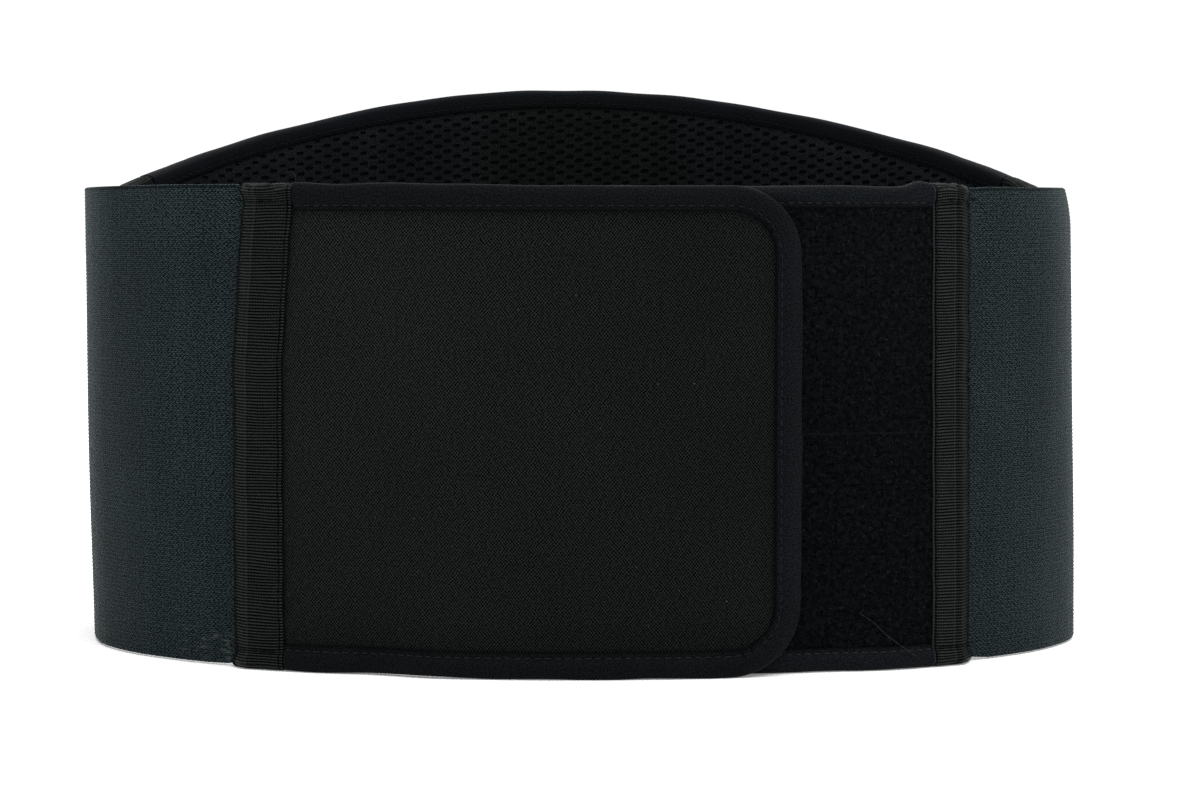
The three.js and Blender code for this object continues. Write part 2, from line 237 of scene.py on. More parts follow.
def wrap(places):
    """Flat-pattern points (along, up, outward) in millimetres, carried round the oval, in metres."""
    along, up, outward = np.moveaxis(np.asarray(places, float), -1, 0)
    turn = np.interp(np.mod(along, GIRTH), OVAL_ALONG, OVAL_TURN)
    depth = np.where(np.sin(turn) < 0, FRONT_DEPTH, BACK_DEPTH)
    ahead_x = -HALF_WIDTH * np.sin(turn)
    ahead_y = depth * np.cos(turn)
    speed = np.hypot(ahead_x, ahead_y)
    x = HALF_WIDTH * np.cos(turn) + outward * ahead_y / speed + side_lean(along, up)
    y = depth * np.sin(turn) - outward * ahead_x / speed
    return np.stack([x + CENTRE_X, y + CENTRE_Y, np.maximum(up, 0)], -1) / 1000


def upper_edge(along):
    """The belt's upper edge: level round the front and sides, arched across the back."""
    from_peak = np.mod(along, GIRTH) - GIRTH / 2 - ARCH_SHIFT
    half_arch = GIRTH / 2 - ARCH_START - np.sign(from_peak) * ARCH_SHIFT
    share = np.minimum(np.abs(from_peak) / half_arch, 1)
    return FRONT_HEIGHT + ARCH_RISE * np.cos(share * math.pi / 2)


def to_edge(along, height, dip=0):
    """Heights up a level tape, drawn out to the upper edge there, less its dip."""
    return height + (upper_edge(along) - FRONT_HEIGHT - dip) * height / FRONT_HEIGHT


def seam_line(seam, up):
    """The middle of a seam's tape at that height."""
    share = smoothstep(up, *seam["bend"]) if seam["bend"] else up / FRONT_HEIGHT
    return lerp(seam["foot"], seam["top"], share)


def sewn_end(seam, up):
    """The panel's end under its tape."""
    return seam_line(seam, up) - seam["side"] * (seam["lap"] - seam["width"] / 2)


def tape_edge(seam, up):
    """The tape's edge on the panel."""
    return seam_line(seam, up) + seam["side"] * seam["width"] / 2


def run_at(run, along):
    """The outward place of a panel's inner face, eased between the rows of its run."""
    place = np.full(np.shape(along), float(run[0][1]))
    for (start, low), (end, high) in zip(run, run[1:]):
        place = np.where(along > start, lerp(low, high, smoothstep(along, start, end)), place)
    return place


def flap_face(along):
    return run_at(FLAP_RUN, along)


def under_face(along):
    return run_at(UNDER_RUN, along)


def pile_face(along):
    return under_face(along) + UNDER_THICK


def lining_edge(along):
    return np.full(np.shape(along), ON_ELASTIC - GAP - LINING[0])


def swell(layer, from_edge):
    """A padded layer's thickness at that distance from its edge."""
    return lerp(layer[0], layer[1], smoothstep(from_edge, SWELL_FROM, SWELL_TO))


LINING_START = tape_edge(SEAMS["rear_right"], 0) + GAP
LINING_END = tape_edge(SEAMS["rear_left"], 0) + GIRTH - GAP
LINING_MIDDLE = (LINING_START + LINING_END) / 2


# Meshes.
def add_piece(name, points, faces, pattern, look, stands_for=None, sharp=None):
    """A mesh from points in metres, with the flat-pattern place of each point as its texture map."""
    mesh = bpy.data.meshes.new(name)
    mesh.from_pydata(np.reshape(points, (-1, 3)).tolist(), [], faces)
    corners = np.zeros(len(mesh.loops), np.int32)
    mesh.loops.foreach_get("vertex_index", corners)
    layer = mesh.uv_layers.new(name="pattern")
    layer.data.foreach_set("uv", np.reshape(pattern, (-1, 2))[corners].astype(np.float32).ravel())
    mesh.shade_smooth()
    if sharp:
        mesh.set_sharp_from_angle(angle=math.radians(sharp))
    mesh.materials.append(LOOKS[look])
    piece = add_object(name, mesh)
    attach(piece, "root")
    if stands_for:
        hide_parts(stands_for)
    return piece


def add_object(name, data):
    made = bpy.data.objects.new(name, data)
    bpy.context.scene.collection.objects.link(made)
    return made


def grid_faces(rows, columns, first=0):
    index = np.arange(rows * columns).reshape(rows, columns) + first
    return np.stack([index[:-1, :-1], index[:-1, 1:], index[1:, 1:], index[1:, :-1]], -1).reshape(-1, 4)


def two_faced(name, outer, inner, look, stands_for=None, pattern=None):
    """A closed piece between two flat-pattern grids, whose columns run along the belt and rows up it."""
    rows, columns = outer.shape[:2]
    count = rows * columns
    index = np.arange(count).reshape(rows, columns)
    ring = np.concatenate([index[0, :-1], index[:-1, -1], index[-1, :0:-1], index[:0:-1, 0]])
    after = np.roll(ring, -1)
    rim = np.stack([after, ring, ring + count, after + count], -1)
    faces = np.concatenate([grid_faces(rows, columns), grid_faces(rows, columns, count)[:, ::-1], rim])
    points = wrap(np.concatenate([outer.reshape(-1, 3), inner.reshape(-1, 3)]))
    if pattern is None:
        pattern = outer[..., :2]
    maps = np.tile(pattern.reshape(-1, 2), (2, 1))
    return add_piece(name, points, faces.tolist(), maps, look, stands_for, SHARP_ANGLE)


def add_layer(name, along, up, outer, inner, look, stands_for=None, pattern=None):
    """A closed piece between two outward places over the same flat pattern."""
    return two_faced(name, flat(along, up, outer), flat(along, up, inner), look, stands_for, pattern)


def facing(middle):
    """Unit normals of a flat-pattern grid."""
    return unit(np.cross(np.gradient(middle, axis=1), np.gradient(middle, axis=0)))


def points_at(path, length, at):
    """The points of a path at those distances along it."""
    return flat(*(np.interp(at, length, column) for column in path.T))


def resampled(path, spacing):
    """The same path with points at an even spacing."""
    length = lengths(*path.T)
    steps = max(2, round(length[-1] / spacing))
    even = np.linspace(0, length[-1], steps + 1)
    return points_at(path, length, even), even


def tubes(lines, beside, radius, sides, above=None, capped=False):
    """Points and faces of thin tubes along rows of points, with directions beside and above each."""
    if above is None:
        above = np.cross(unit(np.gradient(lines, axis=1)), beside)
    turn = np.arange(sides) * 2 * math.pi / sides
    around = beside[..., None, :] * np.cos(turn)[:, None] + above[..., None, :] * np.sin(turn)[:, None]
    points = lines[:, :, None, :] + radius * around
    count, rings = lines.shape[:2]
    index = np.arange(rings * sides).reshape(rings, sides)
    beyond = np.roll(index, -1, axis=1)
    quads = np.stack([index[:-1], beyond[:-1], beyond[1:], index[1:]], -1).reshape(-1, 4)
    first = np.arange(count)[:, None] * rings * sides
    faces = (quads + first[:, None]).reshape(-1, 4).tolist()
    if capped:
        faces += (index[0, ::-1] + first).tolist() + (index[-1] + first).tolist()
    return points.reshape(-1, 3), faces


class Nodes:
    """Adds nodes to a tree."""

    def __init__(self, tree):
        self.tree = tree

    def node(self, kind, **settings):
        """A node whose settings are sockets or values of its inputs, or its own properties."""
        made = self.tree.nodes.new(kind)
        for name, value in settings.items():
            if name not in made.inputs:
                setattr(made, name, value)
                continue
            self.plug(made.inputs[name], value)
        return made

    def plug(self, socket, value):
        if isinstance(value, bpy.types.NodeSocket):
            self.tree.links.new(value, socket)
        elif isinstance(value, tuple) and socket.type == "RGBA":
            socket.default_value = (*value, 1)
        else:
            socket.default_value = value

    def maths(self, operation, *values):
        made = self.node("ShaderNodeMath", operation=operation)
        for socket, value in zip(made.inputs, values):
            self.plug(socket, value)
        return made.outputs[0]

    def times(self, first, second):
        return self.maths("MULTIPLY", first, second)

    def minus(self, first, second):
        return self.maths("SUBTRACT", first, second)

    def linear(self, value, gain, start):
        """The value times the gain, plus the start."""
        return self.maths("MULTIPLY_ADD", value, gain, start)

    def sine(self, value, period):
        return self.maths("SINE", self.times(value, 2 * math.pi / period))

    def wave(self, value, period):
        """A smooth wave from 0 to 1 with that period."""
        return self.linear(self.sine(value, period), 0.5, 0.5)

    def step(self, value, low, high, start=0, end=1):
        """Eases from start to end as the value goes from low to high."""
        ends = {"From Min": low, "From Max": high, "To Min": start, "To Max": end}
        made = self.node("ShaderNodeMapRange", interpolation_type="SMOOTHSTEP", Value=value, **ends)
        return made.outputs["Result"]

    def band(self, value, low, high, soft=0.3):
        """One between low and high, and nothing outside them."""
        return self.times(self.step(value, low, low + soft), self.step(value, high, high - soft))


# Procedural looks. Every pattern is in millimetres of the flat pattern.
class Look(Nodes):
    def __init__(self, name, roughness, specular, sheen=0, sheen_roughness=0.5, sheen_tint=(1, 1, 1)):
        self.material = bpy.data.materials.new(name)
        self.material.use_nodes = True
        super().__init__(self.material.node_tree)
        self.shader = self.tree.nodes["Principled BSDF"]
        settings = {"Roughness": roughness, "Specular IOR Level": specular, "Sheen Weight": sheen}
        settings |= {"Sheen Roughness": sheen_roughness, "Sheen Tint": sheen_tint}
        for socket, value in settings.items():
            self.plug(self.shader.inputs[socket], value)
        self.pattern = self.node("ShaderNodeUVMap", uv_map="pattern").outputs["UV"]
        split = self.node("ShaderNodeSeparateXYZ", Vector=self.pattern)
        self.along, self.up = split.outputs["X"], split.outputs["Y"]

    def noise(self, size, detail=2, stretch=(1, 1)):
        """Noise from 0 to 1 whose spots are about that many millimetres across."""
        place = self.node("ShaderNodeMapping", Vector=self.pattern)
        place.inputs["Scale"].default_value = (1 / (size * stretch[0]), 1 / (size * stretch[1]), 1)
        spots = self.node("ShaderNodeTexNoise", Vector=place.outputs[0], Scale=1.0, Detail=float(detail))
        return spots.outputs["Fac"]

    def mixed(self, share, first, last, kind="RGBA"):
        made = self.node("ShaderNodeMix", data_type=kind)
        for name, value in (("Factor", share), ("A", first), ("B", last)):
            socket = next(s for s in made.inputs if s.name == name and s.enabled)
            self.plug(socket, value)
        return next(s for s in made.outputs if s.enabled)

    def scaled(self, colour, share):
        made = self.node("ShaderNodeVectorMath", operation="SCALE")
        self.plug(made.inputs[0], colour)
        self.plug(made.inputs["Scale"], share)
        return made.outputs[0]

    def finish(self, colour, height=None, depth=0.1):
        """Sets the colour, and a relief of that depth in millimetres."""
        self.plug(self.shader.inputs["Base Color"], colour)
        if height is not None:
            relief = self.node("ShaderNodeBump", Strength=1.0, Distance=depth / 1000, Height=height)
            self.tree.links.new(relief.outputs["Normal"], self.shader.inputs["Normal"])
        return self.material


# The dark and light tone of each cloth; the net's light one is given for the middle of the back and its ends.
TONES = {
    "elastic": ((0, 0.0004, 0.0007), (0.0264, 0.0402, 0.0434)),
    "canvas": ((0, 0, 0), (0.0156, 0.0182, 0.0166)),
    "binding": ((0.0001, 0.0003, 0.0005), (0.0091, 0.0114, 0.0139)),
    "webbing": ((0.0004, 0.0008, 0.0006), (0.0305, 0.036, 0.0338)),
    "loop_pile": ((0.0006, 0.0008, 0.001), (0.0068, 0.0081, 0.0093)),
    "loop_yarn": ((0.0026, 0.0034, 0.004), (0.019, 0.022, 0.025)),
    "net_light": ((0.0118, 0.0143, 0.0134), (0.013, 0.015, 0.0173)),
    "mesh_ground": ((0.0034, 0.0042, 0.0044), (0.0074, 0.0089, 0.0094)),
    "binding_thread": ((0.0045, 0.0052, 0.006), (0.0165, 0.0185, 0.0205)),
    "under_thread": ((0.0065, 0.0073, 0.0085), (0.023, 0.026, 0.0285)),
    "back_thread": ((0.0033, 0.004, 0.0048), (0.0058, 0.0068, 0.0082)),
    "tape_thread": ((0.0008, 0.001, 0.001), (0.0046, 0.0056, 0.0052)),
    "loose_thread": ((0.01, 0.0115, 0.013), (0.022, 0.025, 0.027)),
    "hook_nylon": ((0.006, 0.0065, 0.007), (0.0015, 0.0017, 0.002)),
    "floor": ((0.9, 0.9, 0.9), (0.92, 0.92, 0.92)),
}
NET_DARK = (0.0011, 0.0017, 0.0017)
GROUND_END = (0.009, 0.0105, 0.012)
STITCHED_LINE = (0.001, 0.0015, 0.002)
STRIP_JOIN = (0.0076, 0.0089, 0.0101)
# Painted highlight on the tapes' ridges.
RIDGE_HIGHLIGHT = (0.024, 0.0275, 0.0275)
SELVAGE = (0.021, 0.024, 0.0247)
SCUFF = (0.06, 0.07, 0.07)
LINT = (0.09, 0.09, 0.085)


def elastic_look():
    """Ribbed elastic: rows of short floats and plainer rows, with a dark stitch line under its top edge."""
    look = Look("elastic", 0.6, 0.03, 0.1, 0.25, (0.74, 0.98, 1))
    along = look.linear(look.noise(7, 1), 1.5, look.along)
    rib = look.wave(look.minus(look.up, ELASTIC_ROW / 4), ELASTIC_ROW)
    floats = look.wave(along, ELASTIC_FLOAT)
    staggered = look.wave(look.maths("ADD", along, ELASTIC_FLOAT / 2), ELASTIC_FLOAT)
    plain_row = look.linear(staggered, 0.55, 0.05)
    row = look.mixed(look.wave(look.up, 2 * ELASTIC_ROW), plain_row, floats, "FLOAT")
    weave = look.step(look.times(rib, row), 0.02, 0.6)
    threads = look.sine(along, ELASTIC_THREAD)
    level = look.sine(look.up, ELASTIC_ROW)
    fine = look.step(look.times(threads, level), -0.6, 0.6)
    grain = look.step(look.noise(0.52, 1, (1.7, 1)), 0.34, 0.66)
    crossed = look.linear(fine, 0.42, look.times(weave, 0.5))
    height = look.linear(grain, 0.45, look.minus(crossed, 0.06))
    bands = look.noise(9, 3, (1, 12))
    cloudy = look.noise(30, 2)
    shade = look.linear(bands, 0.5, look.linear(cloudy, 0.5, 0.49))
    # Painted light: the elastic is made lighter towards its upper edge.
    shade = look.linear(look.step(look.up, 118, 148), 0.19, shade)
    tone = look.mixed(look.step(height, 0.3, 0.85), *TONES["elastic"])
    tone = look.scaled(tone, shade)
    line = look.times(look.band(look.up, *ELASTIC_LINE), look.linear(floats, 0.45, 0.5))
    tone = look.mixed(line, tone, STITCHED_LINE)
    scuffed = look.times(look.step(look.up, 13, 8), look.band(look.along, -132, -106, 6))
    streaks = look.step(look.noise(1.1, 3, (4, 1)), 0.54, 0.66)
    tone = look.mixed(look.times(scuffed, look.times(streaks, 0.5)), tone, SCUFF)
    return look.finish(tone, height, 0.16)


def canvas_look():
    """Plain-woven olive-black canvas with a few specks of lint."""
    look = Look("canvas", 0.85, 0.02, 0.01, 0.3)
    along = look.linear(look.noise(2.6, 1, (1.6, 1)), 1.1, look.along)
    up = look.linear(look.noise(3.1, 1, (1.6, 1)), 0.7, look.up)
    warp = look.sine(along, 2 * CANVAS_WARP)
    weft = look.sine(up, 2 * CANVAS_WEFT)
    dots = look.step(look.times(warp, weft), -0.6, 0.6)
    dashes = look.step(look.noise(0.5, 0, (2, 1)), 0.34, 0.66)
    slubs = look.step(look.noise(0.7, 2, (1.5, 1)), 0.28, 0.72)
    weave = look.linear(dots, 0.68, look.times(dashes, 0.28))
    height = look.linear(slubs, 0.1, weave)
    cloudy = look.noise(45, 2)
    tone = look.mixed(look.step(height, 0.18, 0.9), *TONES["canvas"])
    # Painted light: the canvas is made lighter towards the left and the top, and darker towards the right and
    # the bottom.
    painted_light = look.times(look.step(look.along, 60, -90), look.step(look.up, -40, 130))
    shade = look.linear(cloudy, 0.35, look.linear(painted_light, 0.36, 0.64))
    tone = look.scaled(tone, shade)
    lint = look.step(look.noise(0.9, 0), 0.885, 0.9)
    tone = look.mixed(look.times(lint, 0.6), tone, LINT)
    return look.finish(tone, height, 0.2)


def binding_look(name, brightness, texture=1, painted_lit_run=(0, 1, 0), lip_shade=0.75):
    """Smooth blue-black twill with painted shade at its cut edges, from which its map measures; painted light
    along one run.
    """
    look = Look(name, 0.55, 0.03, 0.02, 0.25)
    twill = look.wave(look.maths("ADD", look.along, look.up), 0.85)
    fuzz = look.step(look.noise(0.55, 1), 0.32, 0.68)
    plain = 0.58 * (1 - texture)
    ribs = look.linear(twill, 0.5 * texture, plain)
    height = look.linear(fuzz, 0.65 * texture, ribs)
    tone = look.mixed(height, *TONES["binding"])
    # Painted shade along the cut edges.
    lip = look.linear(look.step(look.up, 0.2, 1.2), lip_shade, 1 - lip_shade)
    cloudy = look.linear(look.noise(14, 2), 0.5, 0.75)
    # Painted light along one run, between two places along the binding.
    start, end, gain = painted_lit_run
    lit = look.linear(look.band(look.along, start, end, 25), brightness * gain, brightness)
    shade = look.times(look.times(lip, cloudy), lit)
    return look.finish(look.scaled(tone, shade), height, 0.12)


def webbing_look(name, seam, brightness, front):
    """Grosgrain tape, whose map holds the distance from its edge on the panel and the number of the rib."""
    look = Look(name, 0.5, 0.03, 0.02, 0.25)
    from_panel = look.along
    width, ridge, groove = seam["width"], seam["ridge"], seam["groove"]
    warp = look.wave(from_panel, 0.9)
    fuzz = look.step(look.noise(0.7, 2), 0.3, 0.7)
    ribs = look.maths("POWER", look.wave(look.up, 1), 2)
    height = look.linear(fuzz, 0.5, look.times(warp, 0.5))
    shade = look.times(ribs, look.linear(height, 0.8, 0.4))
    # Painted light on the slope down to the elastic; a negative value paints shade there.
    slope = look.linear(look.band(from_panel, ridge - 0.4, width - 1.6, 0.8), seam["gleam"], brightness)
    selvage = look.linear(look.step(from_panel, groove, groove - 0.2), 0.3, slope)
    shade = look.times(shade, selvage)
    if front:
        # Painted shade in the groove along the edge stitches.
        sunk = look.band(from_panel, groove - 0.5, groove + 0.5, 0.15)
        shade = look.times(shade, look.linear(sunk, -0.97, 1))
        # Painted shadow of the tape's edge on the panel, where its rim lies at or past that edge.
        shade = look.times(shade, look.step(from_panel, seam["rim"], seam["rim"] + 0.35))
        # Painted shade along the tape's edge on the elastic.
        painted_edge_shade = look.step(from_panel, width - 0.6 * seam["shadow"], width - 1.35 * seam["shadow"])
        shade = look.times(shade, look.linear(painted_edge_shade, 0.92, 0.08))
    tone = look.mixed(shade, *TONES["webbing"])
    if front:
        # Painted highlight: a pale line along the tape's ridge.
        painted_light = look.times(look.band(from_panel, ridge - 0.35, ridge + 0.35, 0.3), 0.5)
        tone = look.mixed(painted_light, tone, RIDGE_HIGHLIGHT)
    if seam["selvage"]:
        edge = look.step(from_panel, seam["selvage"], seam["selvage"] - 0.15)
        tone = look.mixed(edge, tone, SELVAGE)
    return look.finish(tone, height, 0.1)


def lit_from_above(look, tone):
    """The pile's tone, paler towards the top."""
    return look.scaled(tone, look.linear(look.step(look.up, 60, 140), 0.2, 0.78))


def pile_look():
    """Dark ground of the loop fastener."""
    look = Look("loop_pile", 0.95, 0.01, 0.01, 0.3)
    tufts = look.noise(0.8, 4)
    clumps = look.step(look.noise(1.9, 3), 0.34, 0.68)
    shade = look.times(tufts, look.linear(clumps, 0.9, 0.65))
    tone = look.mixed(shade, *TONES["loop_pile"])
    specks = look.step(look.noise(1.3, 2), 0.43, 0.37)
    tone = look.scaled(tone, look.linear(specks, -0.62, 1))
    tone = lit_from_above(look, tone)
    join = look.band(look.up, SHOWN_JOIN - 0.3, SHOWN_JOIN + 0.3, 0.15)
    tone = look.mixed(join, tone, STRIP_JOIN)
    return look.finish(tone, tufts, 0.4)


def loop_look():
    """Fine shiny yarn of the loops."""
    look = Look("loop_yarn", 0.5, 0.04, 0.01, 0.3)
    bright = look.step(look.noise(1.3, 1), 0.48, 0.72)
    tone = look.mixed(bright, *TONES["loop_yarn"])
    tone = lit_from_above(look, tone)
    return look.finish(tone)


def off_middle(look):
    """The distance from the middle of the back."""
    return look.maths("ABSOLUTE", look.minus(look.along, GIRTH / 2))


def net_look():
    """Knitted face of the spacer mesh."""
    look = Look("spacer_mesh", 0.7, 0.02, 0.01, 0.3)
    knit = look.wave(look.along, 0.58)
    rows = look.wave(look.linear(look.along, 0.5, look.up), 0.7)
    fuzz = look.step(look.noise(0.8, 2), 0.3, 0.7)
    height = look.linear(fuzz, 0.5, look.times(look.maths("ADD", knit, rows), 0.3))
    cloudy = look.noise(22, 2, (1, 6))
    light = look.mixed(look.step(off_middle(look), 15, 60), *TONES["net_light"])
    tone = look.mixed(height, NET_DARK, light)
    shade = look.linear(cloudy, 1.1, 0.45)
    # Painted shade towards the far end of the lining, and painted light on its lit side near its start.
    painted_shade_far_end = look.linear(look.step(look.along, 525, 560), -0.25, 1)
    lit_side = look.linear(look.step(look.along, 368, 335), 0.3, painted_shade_far_end)
    return look.finish(look.scaled(tone, look.times(shade, lit_side)), height, 0.16)


def ground_look():
    """Dark felt behind the holes of the spacer mesh."""
    look = Look("mesh_ground", 0.95, 0.02)
    tone = look.mixed(look.noise(0.7, 2), *TONES["mesh_ground"])
    half = (LINING_END - LINING_START) / 2
    tone = look.mixed(look.step(off_middle(look), half - 2.4, half - 1.6), tone, GROUND_END)
    return look.finish(tone)


def thread_look(name):
    """Twisted sewing thread."""
    look = Look(name, 0.5, 0.05, 0.02, 0.3)
    twist = look.wave(look.maths("ADD", look.along, look.up), 0.5)
    return look.finish(look.mixed(twist, *TONES[name]), twist, 0.04)


def nylon_look():
    """Field of moulded hooks, on the inside of the flap."""
    look = Look("hook_nylon", 0.6, 0.3)
    place = look.node("ShaderNodeTexCoord").outputs["Object"]
    hooks = look.node("ShaderNodeTexVoronoi", Vector=place, Scale=900.0).outputs["Distance"]
    tone = look.mixed(hooks, *TONES["hook_nylon"])
    return look.finish(tone, hooks, 0.3)


def floor_look():
    look = Look("floor", 0.9, 0.1)
    look.shader.inputs["Emission Color"].default_value = (1, 1, 1, 1)
    look.shader.inputs["Emission Strength"].default_value = 0.18
    paper = look.node("ShaderNodeTexNoise", Scale=40.0, Detail=2.0).outputs["Fac"]
    return look.finish(look.mixed(paper, *TONES["floor"]))


LOOKS = {
    "elastic": elastic_look(),
    "canvas": canvas_look(),
    "flap_binding": binding_look("flap_binding", 0.565, 1.3, (140, 300, 0.36)),
    "under_binding": binding_look("under_binding", 0.86, 1.3),
    "back_binding": binding_look("back_binding", 0.95, 0.45, lip_shade=0.2),
    "loop_pile": pile_look(),
    "loop_yarn": loop_look(),
    "spacer_mesh": net_look(),
    "mesh_ground": ground_look(),
    "hook_nylon": nylon_look(),
    "floor": floor_look(),
}

for thread in ("binding_thread", "under_thread", "back_thread", "tape_thread", "loose_thread"):
    LOOKS[thread] = thread_look(thread)


# Elastic sides.
def add_elastic(name, start, end, seed):
    """A side of elastic, with closer columns beside its front tape, which pulls up its upper edge."""
    rib = 2 * ELASTIC_ROW
    level = np.linspace(0, 1, round(FRONT_HEIGHT / rib * 4))[:, None]
    front = start if start is SEAMS["front_right"] else end
    span = tape_edge(end, FRONT_HEIGHT) - tape_edge(start, FRONT_HEIGHT)
    beside = (front["width"] + np.array([0.4, 1.1, 1.8, 2.7])) / span
    closer = beside if front is start else 1 - beside
    share = np.sort(np.concatenate([np.linspace(0, 1, 22), closer]))
    height = level * FRONT_HEIGHT
    first, last = tape_edge(start, height), tape_edge(end, height)
    along = lerp(first, last, share)
    free = np.minimum(along - first, last - along)
    inset = TAPE + GAP
    past_tapes = smoothstep(free, 17, 24)
    near_rear = smoothstep(np.abs(along), 222, 230)
    under_front = smoothstep(free, 18, 16.6) * (np.abs(along) < 150)
    beside_front = smoothstep(np.abs(along), 205, 118) * smoothstep(free, 19.2, 20.8)
    foot = lerp(inset, ELASTIC_FOOT, past_tapes)
    dip = SEAMS["rear_left"]["dip"] * near_rear + front["dip"] * under_front
    top = upper_edge(along) - inset - dip
    flat_up = lerp(foot, top, level)
    up = flat_up + front["pull"] * beside_front * smoothstep(level, 0.5, 1)
    edge = np.minimum(flat_up - foot, top - flat_up)
    half = ELASTIC / 2 * np.sqrt(np.clip(edge / 0.4, 0.12, 1))
    ribs = ELASTIC_RIB_HEIGHT * np.sin(2 * math.pi * up / rib)
    sag = ELASTIC_SAG * smoothstep(free, 17, 40) * ripple(along, up, 36, seed, 3)
    outer, inner = sag + half + ribs, sag - half - ribs
    pattern = flat(along, flat_up)
    piece = add_layer(name + "_cloth", along, up, outer, inner, "elastic", name, pattern)


# Seam tapes.
def tape_path(top):
    """A tape's way up the outside, with its folded ends: height, and the side from -1 inside to 1 outside."""
    spacing = TAPE_RIB / 4
    turn = np.linspace(0, math.pi, 13)[1:-1]
    rounding = 1.3 * np.sin(turn) ** 0.7
    fold = np.arange(TAPE_FOLD, TAPE_TURN, -spacing)
    outside = np.arange(TAPE_TURN, top - TAPE_TURN, spacing)
    height = [fold, TAPE_TURN - rounding, outside, top - TAPE_TURN + rounding, top - fold[::-1]]
    inside = np.full(len(fold), -1)
    side = [inside, -np.cos(turn), np.ones(len(outside)), np.cos(turn), inside]
    return np.concatenate(height), np.concatenate(side)


def tape_lift(seam, panel_edge, across):
    """How far the panel's end lifts the tape, by the distance from the tape's middle towards the panel."""
    half_width = seam["width"] / 2
    step = half_width - seam["lap"]
    raised = (panel_edge + GAP) * smoothstep(across, -half_width - 0.6, step + 0.8)
    ridge = TAPE_RIDGE * bump(across, step + 1, 1.1)
    pressed = TAPE_PRESS * smoothstep(across, half_width - 0.6, half_width)
    return raised + ridge - pressed


def tape_columns(seam, fill, front):
    """Places across a tape, closer together at its edge stitches and at the panel's end."""
    half_width = seam["width"] / 2
    groove = seam["groove"]
    beside = [0, 0.25, groove, groove + 1]
    over_end = [-1, 1]
    if front:
        beside = [0, 0.25, groove - 0.45, groove - 0.15, groove + 0.15, groove + 0.45, groove + 1.1]
        over_end = [-1, 0, 1, 2]
    selvage = half_width - np.array(beside)
    ridge = seam["side"] * (half_width - seam["lap"] + np.array(over_end))
    middle = np.linspace(2.6 - half_width, half_width - 2.6, fill)
    return np.unique(np.concatenate([selvage, -selvage, ridge, middle]))


def add_tape(name, seam, panel_edge, seed, fill, front):
    """A ribbed tape over a seam, folded to the inside at both ends."""
    height, side = tape_path(FRONT_HEIGHT)
    half_width = seam["width"] / 2
    edge_line = half_width - seam["groove"]
    across = tape_columns(seam, fill, front)
    from_end = np.minimum(height, FRONT_HEIGHT - height)[:, None]
    on_elastic = across * seam["side"] < 0
    flare = np.where(height < FRONT_HEIGHT / 2, *seam["flare"])[:, None] * smoothstep(from_end, 4.6, 2)
    pinch = 1 + on_elastic * (flare - 0.07 * bump(from_end, 5.4, 2.2))
    along = seam_line(seam, height[:, None]) + across * pinch
    from_panel = half_width - across * seam["side"]
    dip = seam["dip"] * smoothstep(from_panel, seam["lap"] - 2, seam["width"] - 1)
    up = to_edge(along, height[:, None], dip)
    lift = tape_lift(seam, panel_edge, across * seam["side"])
    grooves = TAPE_GROOVE * (bump(across, edge_line, 0.45) + bump(across, -edge_line, 0.45))
    outer_side = ON_ELASTIC + TAPE / 2 + lift - grooves
    inner_side = np.full_like(across, -(ON_ELASTIC + TAPE / 2))
    middle_side = (outer_side + inner_side) / 2
    reach = (outer_side - inner_side) / 2
    outward = middle_side + reach * side[:, None]
    outside = (side > 0.99)[:, None]
    doubled = TAPE_DOUBLED * smoothstep(from_end, 6.4, 5) - TAPE_DENT * bump(from_end, 5.4, 0.8)
    outward = outward + outside * (TAPE_WAVE * ripple(along, up, 14, seed) + doubled)
    wander = (0.15 if front else 0.03) * ripple(np.zeros_like(height), height, 24, seed + 1)
    middle = flat(along + wander[:, None], up, outward)
    length = lengths(height, 2.2 * side)
    pitch = np.where(from_end[:, 0] < 6, 0.78 * TAPE_RIB, TAPE_RIB)
    count = np.concatenate([[0], np.cumsum(np.diff(length) / pitch[1:])])
    uneven = 0.22 + 0.5 * smoothstep(from_end, 8, 3)
    count = count[:, None] + uneven * ripple(along, up, 16, seed + 2)
    ribs = TAPE_RIB_HEIGHT * np.sin(2 * math.pi * count)[..., None]
    normal = facing(middle)
    thin = TAPE / 2 * np.sqrt(np.clip((half_width - np.abs(across)) / 0.5, 0.15, 1))[:, None]
    pattern = flat(from_panel, count)
    outer, inner = middle + normal * (thin + ribs), middle - normal * thin
    piece = two_faced(name + "_cloth", outer, inner, name, name, pattern)


# Padded and plain panels of the front.
def front_grid(seam, free_end, spacing):
    """A front panel's columns and rows, with each corner's distance from the panel's edges."""
    side = seam["side"]
    corner_start = free_end - side * CORNER
    straight = np.linspace(0, 1, round(abs(corner_start - seam["foot"]) / spacing))[:-1]
    turn = np.linspace(0, math.pi / 2, round(CORNER * 1.6 / spacing))
    level = np.linspace(0, 1, round(FRONT_HEIGHT / spacing))[:, None]
    inset = np.concatenate([np.zeros(len(straight)), CORNER * (1 - np.cos(turn))])
    foot = EDGE_INSET + inset
    top = FRONT_HEIGHT - EDGE_INSET - inset
    up = lerp(foot, top, level)
    sewn = sewn_end(seam, up[:, : len(straight)])
    bend = np.broadcast_to(corner_start + side * CORNER * np.sin(turn), (len(level), len(turn)))
    along = np.concatenate([lerp(sewn, corner_start, straight), bend], axis=1)
    from_sewn = np.abs(along - sewn_end(seam, up)) - seam["lap"] + SWELL_FROM
    from_rim = np.minimum(np.minimum(up - foot, top - up), np.abs(free_end - along))
    order = slice(None) if side > 0 else slice(None, None, -1)
    return along[:, order], up[:, order], from_rim[:, order], from_sewn[:, order]


